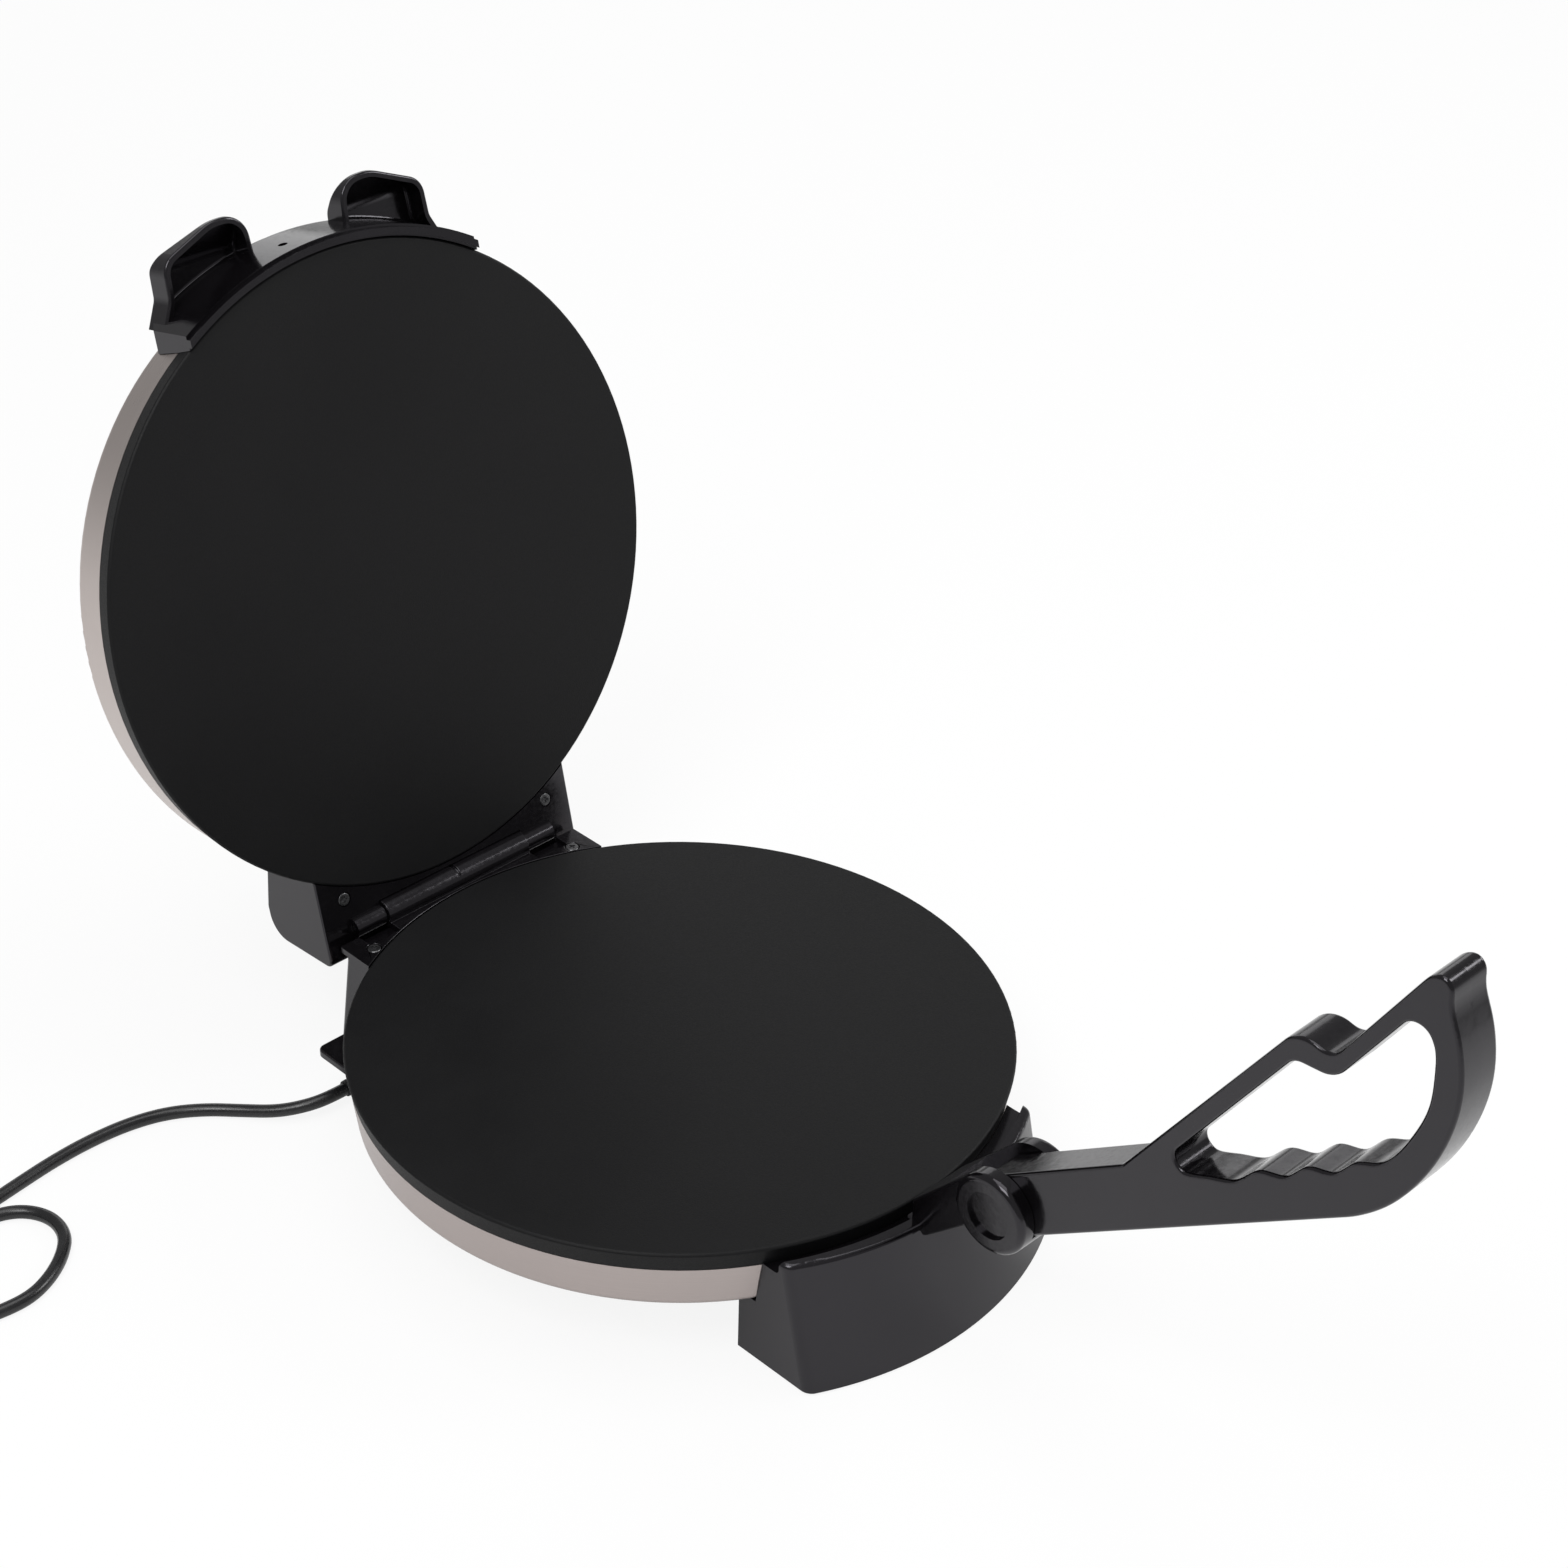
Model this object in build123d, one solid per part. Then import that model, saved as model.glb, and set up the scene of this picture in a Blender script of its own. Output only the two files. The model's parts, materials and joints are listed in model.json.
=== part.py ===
from build123d import *
import math
import os

# An electric press for flatbreads: a heated lower plate on a base, a heated lid on
# a rear hinge, and a lever handle that swings over the closed lid to press it down.
# Every piece is built about the lower plate: X to the right, Y to the rear hinge and
# Z up from the lower cooking face. At the end all is set down on the table, with the
# origin under the middle of the object's box. All sizes are in millimetres.

# Cooking plates
plate_radius = 152.5
upper_plate_inset = 0.9
plate_thickness = 4.0
plate_edge = 1.0
skirt_depth = 9.6
skirt_wall = 3.0
skirt_draft = 1.7
plate_height = 65.0
plate_gap = 0.4
boss_radius = 6.0
boss_depth = 10.0
boss_circle_share = 0.472
boss_count = 4

# Steel bands around the plates
casing_wall = 1.0
casing_depth = 22.4
casing_draft = 2.9
casing_corner = 4.0
flange_width = 27.9
cover_crown = 3.3
cover_crown_share = 0.64
cover_crown_rise_share = 0.77
crown_bend = 400.0

# Clearances
seam = 0.3
running_gap = 0.05
hinge_side_gap = 0.6
hinge_round_gap = 0.5
overrun = 30.0

# Fasteners
screw_radius = 1.7
screw_head_radius = 3.3
screw_head_height = 2.0
recess_width = 1.0
recess_depth = 1.2
screw_head_round = 0.65
tapped_depth = 7.0
stud_bite = 5.6

# Heating
element_circle_share = 0.6885
element_radius = 3.3
element_opening_angle = 24.0
element_leg = 9.0
element_leg_radius = 4.2
shield_inset = 15.5
shield_wall = 0.8
shield_rim = 4.0
shield_window = 15.0
spacer_radius = 4.5
thermostat_radius = 9.0
thermostat_height = 8.0
thermostat_pin_length = 12.8
thermostat_cap_radius = 6.5
thermostat_cap_height = 4.0
fuse_radius = 2.2
fuse_length = 16.0
fuse_place_shares = (0.29, 0.17)
block_size = (38.0, 15.0, 10.0)
block_place_share = 0.55
block_hole_radius = 2.0
block_ways = 3
lead_radius = 1.3
lead_bend = 3.0

# Bottom cover
cover_lap = 11.5
cover_wall = 1.2
vent_count = 8
vent_length = 34.0
vent_width = 3.2
vent_pitch = 9.0

# Stands: front foot and rear housing
stand_wall = 3.0
foot_arc_shift = 19.0
foot_floor_reach = 7.0
foot_top_inset = 5.9
foot_half_width = 76.5
foot_inner_inset = 13.0
foot_corner_round = 6.0
foot_top_round = 2.5
ledge_drop = 2.4
gutter_width = 7.0
gutter_floor_round = 2.3
gutter_drop = 9.0
pad_show = 1.0
pad_radius = 7.0
pad_height = 3.6
post_radius = 9.5
post_height = 34.0
front_pad_x = 48.0
front_pad_inset = 2.5
rear_pad_x = 52.0
rear_pad_inset = 11.5
shelf_width = 18.0
shelf_reach = 16.2
shelf_thickness = 4.0
shelf_angle = 20.0
shelf_screw_inset = 11.9
rear_half_width = 70.0
rear_corner_round = 3.0
rear_wall_reach = 2.6
rear_wall_flare = 9.4
rear_inner_inset = 24.5
tab_width = 34.0
tab_side_share = 0.685
tab_rear_share = 0.892
tab_front_share = 0.682
tab_corner = 4.0
tab_edge = 0.8
tab_screw_shares = (0.5246, 0.7344)

# Lid hinge: its axis runs along X
hinge_reach = 8.5
hinge_z = 1.5
lid_open_angle = 103.2
barrel_radius = 7.0
barrel_half_length = 43.5
barrel_groove_width = 2.0
barrel_groove_depth = 0.9
hinge_pin_radius = 2.5
lug_end = 61.2
hinge_lug_radius = 5.2
deck_half_width = 73.0
deck_rear_reach = 2.9
deck_front_inset = 24.5
deck_drop = 0.3
deck_thickness = 3.0
deck_notch_inset = 5.5
deck_screw_x = 62.0
deck_screw_reach = 4.2
deck_boss_radius = 4.5
deck_boss_depth = 12.0

# Hinge block of the lid, as it lies on the closed lid
block_half_width = 77.0
block_lift = 0.8
block_rear_reach = 15.0
block_crest_reach = 7.3
block_crest_z = 46.0
block_depth = 43.0
block_toe_z = 35.0
block_rear_round = 4.0
block_crest_round = 13.0
block_toe_round = 6.0
block_edge = 1.2
block_wall = 3.0
block_base = 10.5
block_screw_x = 62.6
block_screw_reach = 5.4
block_screw_bore = 8.4
block_top_screw_x = 56.0
block_top_screw_inset = 30.0

# Yoke of the lid, with its two lift ears
yoke_reach = 4.7
yoke_lip_step = 1.3
yoke_lip_drop = 2.0
yoke_step = 0.8
yoke_top = 35.0
yoke_top_round = 4.0
yoke_width = 23.2
yoke_end_x = 80.8
yoke_end_back_x = 74.0
yoke_end_z = 26.0
yoke_hole_radius = 2.2
yoke_hole_x = 15.0
yoke_hole_z = 12.5
yoke_screw_angle = 24.0
yoke_screw_inset = 16.7
ear_near_x = 24.8
ear_width = 48.2
ear_reach = 39.0
ear_low = 20.5
ear_wall = 2.8
ear_roof = 2.4
ear_crease_reach = 24.5
ear_crease_round = 8.0
ear_fall_reach = 41.0
ear_fall = 10.7
ear_edge = 1.1
ear_hollow_round = 1.4
ear_outline_shares = [
    (0.0, 0.40, 0.0),
    (0.03, 1.01, 0.31),
    (0.40, 1.035, 0.60),
    (0.985, 0.74, 0.26),
    (1.0, 0.30, 0.20),
    (1.12, 0.0, 0.0),
]

# Handle pivot and lugs
pivot_reach = 49.0
pivot_z = 27.5
lug_radius = 18.8
lug_half_width = 18.8
lug_gap_half = 11.0
lug_rim_round = 3.0
lug_recess_radius = 11.0
lug_recess_depth = 3.4
cap_thickness = 1.6
neck_half_width = 16.4
neck_edge = 1.2
neck_back_reach = 6.0
neck_back_z = 8.0
neck_low_reach = 15.4
neck_low_z = -6.2
neck_mid_inset = 13.9
neck_mid_z = 11.9
neck_top_inset = 11.9
neck_top_z = 41.7
neck_root_reach = 3.5
neck_root_z = -12.0
handle_pin_radius = 3.0

# Handle lever: along the arm (u) and across it (w), from the pivot
handle_reach = 270.0
handle_half_width = 10.7
handle_rest_rise = 35.1
handle_swing = 118.0
arm_top = 14.0
arm_bottom = 14.0
arm_room = 0.8
knuckle_radius = 14.0
bush_wall = 2.0
handle_edge = 1.5
outer_shares = [
    (0.3000, 0.0519, 0.020),
    (0.7390, 0.2240, 0.048),
    (0.7790, 0.1775, 0.032),
]
tip_shares = (0.9780, 0.2658)
tip_slope_shares = (1.0, 0.4438)
back_curve_shares = [
    (1.0000, 0.2722),
    (1.0172, 0.2668),
    (1.0222, 0.2510),
    (1.0150, 0.2345),
    (1.0086, 0.2190),
    (1.0050, 0.2020),
    (1.0005, 0.1800),
    (0.9900, 0.1480),
    (0.9725, 0.1125),
    (0.9460, 0.0760),
    (0.9060, 0.0365),
    (0.8610, 0.0035),
    (0.8120, -0.0230),
    (0.7640, -0.0410),
    (0.7250, -0.0490),
]
arm_end_share = 0.690
grip_start_shares = (0.4150, 0.0380)
grip_start_fall_shares = (0.0120, -0.0220)
grip_top_shares = [
    (0.4030, 0.0600, 0.020),
    (0.7100, 0.1825, 0.030),
    (0.7680, 0.1475, 0.045),
    (0.9590, 0.2293, 0.026),
]
grip_end_shares = (0.9560, 0.1840)
grip_end_rise_shares = (0.0030, 0.0453)
groove_shares = [
    (0.4330, 0.0285),
    (0.4680, 0.0222),
    (0.5137, 0.0150),
    (0.5659, 0.0262),
    (0.6066, 0.0152),
    (0.6571, 0.0262),
    (0.6965, 0.0153),
    (0.7460, 0.0275),
    (0.7800, 0.0240),
    (0.8200, 0.0345),
    (0.8600, 0.0580),
    (0.9062, 0.0955),
    (0.9400, 0.1440),
]
handle_screw_shares = [(0.150, 0.0), (0.400, -0.022), (0.922, 0.086)]
handle_screw_bore_share = 0.7

# Power cord
cord_diameter = 6.2
cord_bend_share = 0.45
relief_root_radius = 5.2
relief_tip_radius = 3.9
relief_flange_radius = 7.5
relief_flange_thickness = 1.6
relief_rib_count = 5
relief_rib_width = 1.4
relief_rib_depth = 0.7
coil_turns_per_layer = 1
coil_mid_radius = 35.0
coil_pitch = 7.8
coil_layer_step = 7.3
plug_size = (34.0, 25.0, 17.0)
plug_round = 4.0
plug_neck_length = 6.0
plug_neck_radius = 5.0
blade_size = (16.0, 1.5, 6.3)
blade_spacing = 12.7

# The cord lies on the table. Its points are from the middle of the lower plate, and
# their heights are from the table.
cord_exit = (-96.0, 127.0, 9.0)
cord_route = [
    cord_exit,
    (-106.0, 127.0, 9.0),
    (-116.5, 131.0, 7.6),
    (-127.0, 139.8, 5.0),
    (-137.2, 153.0, 3.4),
    (-148.8, 165.6, 3.1),
    (-163.5, 175.6, 3.1),
    (-181.0, 181.0, 3.1),
    (-201.0, 182.9, 3.1),
    (-221.0, 182.2, 3.1),
    (-240.0, 179.8, 3.1),
    (-259.0, 177.1, 3.1),
    (-279.0, 175.9, 3.1),
    (-300.0, 177.4, 3.1),
    (-321.0, 181.4, 3.1),
    (-342.0, 185.8, 3.1),
    (-365.0, 188.6, 3.1),
    (-391.0, 189.0, 3.1),
    (-417.0, 189.0, 3.1),
]
tail_route = [
    (-417.0, 111.2, 10.4),
    (-405.0, 111.2, 10.4),
    (-391.0, 111.4, 8.9),
    (-376.0, 112.0, 5.6),
    (-360.0, 113.6, 3.6),
    (-343.0, 116.0, 3.1),
    (-326.0, 118.4, 3.1),
    (-309.0, 117.8, 3.1),
    (-294.0, 113.6, 3.1),
    (-279.5, 112.6, 3.1),
    (-266.5, 117.4, 3.1),
    (-254.6, 125.6, 3.1),
    (-245.4, 136.4, 3.1),
    (-243.5, 150.8, 3.1),
    (-250.5, 163.5, 3.1),
    (-263.6, 169.6, 3.1),
    (-276.8, 167.2, 3.4),
    (-289.0, 164.2, 5.4),
    (-301.5, 162.0, 8.5),
    (-313.5, 162.0, 8.5),
]

upper_plate_radius = plate_radius - upper_plate_inset
boss_circle = boss_circle_share * plate_radius
element_circle = element_circle_share * plate_radius
shield_radius = plate_radius - shield_inset
foot_floor_radius = plate_radius + foot_floor_reach
foot_top_radius = plate_radius - foot_top_inset
foot_inner_floor_radius = plate_radius - foot_inner_inset
front_pad_place = (front_pad_x, front_pad_inset - plate_radius)
rear_pad_place = (rear_pad_x, plate_radius - rear_pad_inset)
rear_wall_y = plate_radius + rear_wall_reach
rear_inner_floor_radius = plate_radius - rear_inner_inset
tab_screw_place = [share * plate_radius for share in tab_screw_shares]
hinge_y = plate_radius + hinge_reach
deck_rear_y = plate_radius + deck_rear_reach
deck_screw_place = (deck_screw_x, math.sqrt((plate_radius + deck_screw_reach) ** 2 - deck_screw_x**2))
block_toe_y = hinge_y - block_depth
block_screw_y = math.sqrt((plate_radius + block_screw_reach) ** 2 - block_screw_x**2)
yoke_radius = plate_radius + yoke_reach
yoke_inner_radius = yoke_radius - yoke_width
pivot_y = -plate_radius - pivot_reach
cord_radius = cord_diameter / 2
band_bottom = skirt_depth + seam + casing_depth
lid_face = plate_gap
lid_band_top = lid_face + band_bottom


def outline(points, radii):
    """A flat face with a filleted corner at each point."""
    return make_face(FilletPolyline(*points, radius=radii, close=True))


def turned(points, radii=None):
    """A solid turned about the Z axis from a profile of (radius, height)."""
    corners = radii or [0] * len(points)
    return revolve(Plane.XZ * outline(points, corners), Axis.Z)


def rod(start, direction, radius, length):
    """A round bar from a point along a direction."""
    plane = Plane(origin=start, z_dir=direction)
    return extrude(plane * Circle(radius), amount=length)


def across(profile, half_width):
    """A profile of (Y, Z) points, extruded to both sides of the middle plane."""
    return extrude(Plane.YZ * profile, amount=half_width, both=True)


def slab(low, high):
    """A block between two corners."""
    size = [b - a for a, b in zip(low, high)]
    middle = [(a + b) / 2 for a, b in zip(low, high)]
    return Pos(*middle) * Box(*size)


def sides(shape):
    """A shape and its twin on the other side of the middle plane."""
    return [shape, mirror(shape, about=Plane.YZ)]


def around(shape, count):
    """Copies of a shape, evenly spaced about the Z axis, clear of the middle planes."""
    return [Rot(0, 0, 360 * (i + 0.5) / count) * shape for i in range(count)]


def side_edges(shape):
    """The edges of a shape's left and right side faces."""
    layers = shape.edges().group_by(Axis.X)
    return layers[0] + layers[-1]


def screw(shank, head_radius=screw_head_radius):
    """A cross-head screw that points down, with the seat of its head at zero."""
    head = Pos(0, 0, screw_head_height / 2) * Cylinder(head_radius, screw_head_height)
    top_edge = head.edges().sort_by(Axis.Z)[-1]
    head = fillet(top_edge, screw_head_round)
    slot = Pos(0, 0, screw_head_height) * Box(head_radius, recess_width, recess_depth)
    body = Pos(0, 0, -shank / 2) * Cylinder(screw_radius, shank)
    return head + body - slot - Rot(0, 0, 90) * slot


def upside_down(shape):
    return Rot(180, 0, 0) * shape


# Each heated half is built as the lower one, with its cooking face at zero and
# everything else below it.


def half_plate(radius):
    foot = radius - skirt_draft
    inner = foot - skirt_wall
    profile = [
        (0, 0),
        (radius - plate_edge, 0),
        (radius, -plate_edge),
        (foot, -skirt_depth),
        (inner, -skirt_depth),
        (inner, -plate_thickness),
        (0, -plate_thickness),
    ]
    body = turned(profile, [0, plate_edge, plate_edge, 0, 0, 0, 0])
    depth = plate_thickness + boss_depth
    boss = Pos(boss_circle, 0, 0) * rod((0, 0, -depth), (0, 0, 1), boss_radius, boss_depth)
    hole = Pos(boss_circle, 0, 0) * rod((0, 0, -depth), (0, 0, 1), screw_radius + running_gap, tapped_depth)
    for one in around(boss, boss_count):
        body += one
    for one in around(hole, boss_count):
        body -= one
    return body


def half_element():
    """A tube bent to an open ring under the plate, with a leg at each end."""
    height = -plate_thickness - seam - element_radius
    half_opening = element_opening_angle / 2
    start = 90 + half_opening
    sweep_angle = 360 - element_opening_angle
    path = CenterArc((0, 0, height), element_circle, start, sweep_angle)
    section = Plane(origin=path @ 0, z_dir=path % 0) * Circle(element_radius)
    body = sweep(section, path=path)
    for side in (-1, 1):
        x, y = element_end(side)
        body += rod((x, y, -plate_thickness - seam / 2), (0, 0, -1), element_leg_radius, element_leg)
    return body


def element_end(side):
    """Where a leg of the heating element stands, seen from above."""
    angle = math.radians(90 - side * element_opening_angle / 2)
    return element_circle * math.cos(angle), element_circle * math.sin(angle)


def half_shield():
    """A thin reflector pan on the plate's bosses, with windows for what passes it."""
    top = -plate_thickness - boss_depth
    profile = [
        (shield_window, top),
        (shield_radius - shield_wall, top),
        (shield_radius - shield_wall, top + shield_rim),
        (shield_radius, top + shield_rim),
        (shield_radius, top - shield_wall),
        (shield_window, top - shield_wall),
    ]
    body = turned(profile)
    low = top - shield_wall
    drill = Pos(boss_circle, 0, 0) * rod((0, 0, low), (0, 0, 1), screw_radius + seam, shield_wall)
    for one in around(drill, boss_count):
        body -= one
    for side in (-1, 1):
        x, y = element_end(side)
        body -= rod((x, y, low), (0, 0, 1), element_leg_radius + seam, shield_wall)
    return body


def half_thermostat():
    """A snap-disc thermostat under the middle of the plate."""
    top = -plate_thickness - seam
    body = rod((0, 0, top), (0, 0, -1), thermostat_cap_radius, thermostat_cap_height)
    seat = top - thermostat_cap_height
    body += rod((0, 0, seat), (0, 0, -1), thermostat_radius, thermostat_height)
    for side in (-1, 1):
        place = (side * thermostat_cap_radius / 2, 0, seat)
        body += rod(place, (0, 0, -1), lead_radius, thermostat_pin_length)
    return body


def casing_top_radius(radius):
    return radius - skirt_draft


def casing_low_radius(radius):
    return radius - skirt_draft - casing_draft


def lower_casing():
    """The steel band of the base, turned in to a flange below."""
    top = -skirt_depth - seam
    bottom = -band_bottom
    outer_top = casing_top_radius(plate_radius)
    outer_low = casing_low_radius(plate_radius)
    profile = [
        (outer_top, top),
        (outer_low, bottom),
        (outer_low - flange_width, bottom),
        (outer_low - flange_width, bottom + casing_wall),
        (outer_low - casing_wall, bottom + casing_wall),
        (outer_top - casing_wall, top),
    ]
    radii = [0, casing_corner, 0, 0, casing_corner - casing_wall, 0]
    body = turned(profile, radii)
    for x, y in shelf_screw_places():
        body -= rod((x, y, bottom), (0, 0, 1), screw_radius + running_gap, casing_wall)
    return body


def cover_profile(grow):
    """Half section of the lid's steel cover, grown outwards by a gap."""
    low = lid_face + skirt_depth + seam
    peak = lid_band_top + cover_crown
    outer_low = casing_low_radius(upper_plate_radius)
    bend = cover_crown_share * outer_low
    rise = cover_crown_rise_share * cover_crown
    return [
        (casing_top_radius(upper_plate_radius) + grow, low),
        (outer_low + grow, lid_band_top + grow),
        (bend, lid_band_top + rise + grow),
        (0, peak + grow),
        (0, low),
    ]


def upper_casing():
    """The lid's steel cover: band, rounded shoulder and slightly crowned top."""
    shell = turned(cover_profile(0), [0, casing_corner, crown_bend, 0, 0])
    core = turned(cover_profile(-casing_wall), [0, casing_corner - casing_wall, crown_bend, 0, 0])
    body = shell - core
    for x, y in yoke_screw_places() + block_top_screw_places():
        body -= rod((x, y, lid_band_top - casing_wall), (0, 0, 1), screw_radius + running_gap, overrun)
    return body


def cover_radius():
    return casing_low_radius(plate_radius) - flange_width + cover_lap


def bottom_cover():
    """A round sheet under the base, with vents and four screw holes."""
    top = -band_bottom
    body = rod((0, 0, top), (0, 0, -1), cover_radius(), cover_wall)
    drill = Pos(boss_circle, 0, 0) * rod((0, 0, top), (0, 0, -1), screw_radius + seam, cover_wall)
    for one in around(drill, boss_count):
        body -= one
    first = -(vent_count - 1) / 2
    for i in range(vent_count):
        place = Pos(0, (first + i) * vent_pitch, top - cover_wall)
        body -= extrude(place * SlotOverall(vent_length, vent_width), amount=cover_wall)
    return body


def lower_spacers():
    """Tubes between the heat shield and the bottom cover, one on each boss."""
    top = -plate_thickness - boss_depth - shield_wall
    tube = rod((0, 0, -band_bottom), (0, 0, 1), spacer_radius, top + band_bottom)
    tube -= rod((0, 0, -band_bottom), (0, 0, 1), screw_radius + seam, top + band_bottom)
    return around(Pos(boss_circle, 0, 0) * tube, boss_count)


def bottom_screws():
    """Long screws through cover, spacer and shield into the plate's bosses."""
    seat = -band_bottom - cover_wall
    reach = -seat - plate_thickness - boss_depth + stud_bite
    one = Pos(boss_circle, 0, 0) * Pos(0, 0, seat) * upside_down(screw(reach))
    return around(one, boss_count)


def upper_studs():
    """Studs of the lid, from the plate's bosses to the inside of the cover."""
    length = band_bottom - casing_wall - plate_thickness - boss_depth
    low = lid_face + plate_thickness + boss_depth - stud_bite
    crown = cover_crown_rise_share * cover_crown
    stud = rod((0, 0, low), (0, 0, 1), screw_radius, length + stud_bite + crown - 2 * seam)
    base = low + stud_bite + shield_wall
    stud += rod((0, 0, base), (0, 0, 1), spacer_radius, length + crown - shield_wall - 3 * seam)
    return around(Pos(boss_circle, 0, 0) * stud, boss_count)


def thermal_fuse():
    """A cylindrical fuse clipped under the heat shield."""
    x, y = [share * plate_radius for share in fuse_place_shares]
    z = -plate_thickness - boss_depth - shield_wall - seam - fuse_radius
    body = rod((x - fuse_length / 2, y, z), (1, 0, 0), fuse_radius, fuse_length)
    body += rod((x - fuse_length, y, z), (1, 0, 0), lead_radius / 2, 2 * fuse_length)
    return body


def terminal_block():
    """The block on the bottom cover where the mains lead meets the inner leads."""
    length, width, height = block_size
    low = -band_bottom
    near = block_place_share * plate_radius - width / 2
    body = slab((-length / 2, near, low), (length / 2, near + width, low + height))
    for place in (-1, 0, 1):
        hole_low = (place * length / block_ways, near, low + height / 2)
        body -= rod(hole_low, (0, 1, 0), block_hole_radius, width)
    return body


def inner_leads():
    """Two insulated leads from the terminal block to the element's legs."""
    length, width, height = block_size
    leads = []
    low = -band_bottom + height / 2
    leg_end = -plate_thickness - seam / 2 - element_leg
    for side in (-1, 1):
        end_x, end_y = element_end(side)
        start = (side * length / block_ways, block_place_share * plate_radius + width / 2, low)
        points = [start, (end_x, end_y, low), (end_x, end_y, leg_end)]
        path = FilletPolyline(*points, radius=lead_bend)
        section = Plane(origin=path @ 0, z_dir=path % 0) * Circle(lead_radius)
        leads.append(sweep(section, path=path))
    return leads


# Stands


def base_void(floor_radius, low_radius, gap):
    """What the stands leave free: the plate, the band and the space below them."""
    profile = [
        (0, overrun),
        (plate_radius + gap, overrun),
        (plate_radius + gap, 0),
        (casing_top_radius(plate_radius) + gap, -skirt_depth),
        (casing_low_radius(plate_radius) + gap, -band_bottom - seam),
        (low_radius + gap, -band_bottom - seam),
        (floor_radius + gap, -plate_height),
        (0, -plate_height),
    ]
    return turned(profile)


def front_void(gap):
    """The base's room in the front foot, whose inner wall stands upright below the band."""
    return base_void(foot_inner_floor_radius, foot_inner_floor_radius, gap)


def rear_void(gap):
    """The base's room in the rear housing, whose inner wall leans in below the band."""
    return base_void(rear_inner_floor_radius, casing_low_radius(plate_radius) - seam, gap)


def gutter():
    """The dark gap between the plate's skirt and the rim of the front foot."""
    wide = plate_radius + gutter_width
    ring = rod((0, 0, -gutter_drop), (0, 0, 1), wide, overrun)
    floor = ring.edges().group_by(Axis.Z)[0]
    return fillet(floor, gutter_floor_round)


def foot_cone(shrink):
    low = -plate_height + pad_show
    high = -ledge_drop
    place = Pos(0, -foot_arc_shift, (low + high) / 2)
    return place * Cone(foot_floor_radius - shrink, foot_top_radius - shrink, high - low)


def shelf_screw_places():
    """Screws of the stands and of the rear tabs, seen from above."""
    places = []
    circle = casing_low_radius(plate_radius) - shelf_screw_inset
    for middle in (-90, 90):
        for side in (-1, 1):
            angle = math.radians(middle + side * shelf_angle)
            places.append((circle * math.cos(angle), circle * math.sin(angle)))
    x, y = tab_screw_place
    return places + [(-x, y), (x, y)]


def shelves(middle):
    """Two lugs of a stand that reach in under the flange of the steel band."""
    top = -band_bottom
    outer = casing_low_radius(plate_radius) + seam
    found = []
    for side in (-1, 1):
        low = (outer - shelf_reach, -shelf_width / 2, top - shelf_thickness)
        high = (outer + stand_wall, shelf_width / 2, top)
        body = slab(low, high)
        circle = casing_low_radius(plate_radius) - shelf_screw_inset
        body -= rod((circle, 0, top), (0, 0, -1), screw_radius + seam, shelf_thickness)
        found.append(Rot(0, 0, middle + side * shelf_angle) * body)
    return found


def pad_posts(place, outer):
    """Two posts that carry the rubber feet, trimmed to the stand's outer form."""
    x, y = place
    low = -plate_height + pad_show
    post = rod((x, y, low), (0, 0, 1), post_radius, post_height)
    return [one & outer for one in sides(post)]


def pad_pockets(place):
    x, y = place
    low = -plate_height + pad_show
    pocket = rod((x, y, low), (0, 0, 1), pad_radius + running_gap, pad_height - pad_show)
    return sides(pocket)


def rubber_feet(place):
    x, y = place
    return sides(rod((x, y, -plate_height), (0, 0, 1), pad_radius, pad_height))


def arm_space(swing):
    """The room that the lever's arm needs between the lugs, at one of its limits."""
    length = 2 * lug_radius
    low = -arm_bottom - arm_room
    high = arm_top + arm_room
    space = Pos(length / 2, (low + high) / 2, 0) * Box(length, high - low, 2 * lug_gap_half)
    return handle_plane(swing).location * space


def lugs():
    """The neck on the front foot and the two lugs that carry the handle."""
    root_y = -plate_radius - neck_root_reach
    back_y = -plate_radius - neck_back_reach
    corners = [
        (pivot_y + neck_mid_inset, neck_mid_z),
        (-plate_radius - neck_low_reach, neck_low_z),
        (root_y - stand_wall, neck_root_z),
        (root_y, neck_root_z),
        (root_y, -ledge_drop),
        (back_y, -ledge_drop),
        (back_y, neck_back_z),
        (pivot_y + neck_top_inset, neck_top_z),
        (pivot_y, pivot_z),
    ]
    body = across(outline(corners, [0] * len(corners)), neck_half_width)
    body = fillet(side_edges(body), neck_edge)
    disc = rod((-lug_half_width, pivot_y, pivot_z), (1, 0, 0), lug_radius, 2 * lug_half_width)
    disc = fillet(disc.edges().filter_by(GeomType.CIRCLE), lug_rim_round)
    body += disc
    knuckle_room = knuckle_radius + arm_room
    body -= rod((-lug_gap_half, pivot_y, pivot_z), (1, 0, 0), knuckle_room, 2 * lug_gap_half)
    body -= arm_space(0)
    body -= arm_space(handle_swing)
    high = (lug_gap_half, back_y - arm_room, pivot_z + overrun)
    body -= slab((-lug_gap_half, pivot_y - overrun, pivot_z), high)
    bore_radius = handle_pin_radius + running_gap
    body -= rod((-lug_half_width, pivot_y, pivot_z), (1, 0, 0), bore_radius, 2 * lug_half_width)
    seat = (lug_half_width - lug_recess_depth, pivot_y, pivot_z)
    recess = rod(seat, (1, 0, 0), lug_recess_radius, lug_recess_depth)
    for one in sides(recess):
        body -= one
    return body


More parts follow.
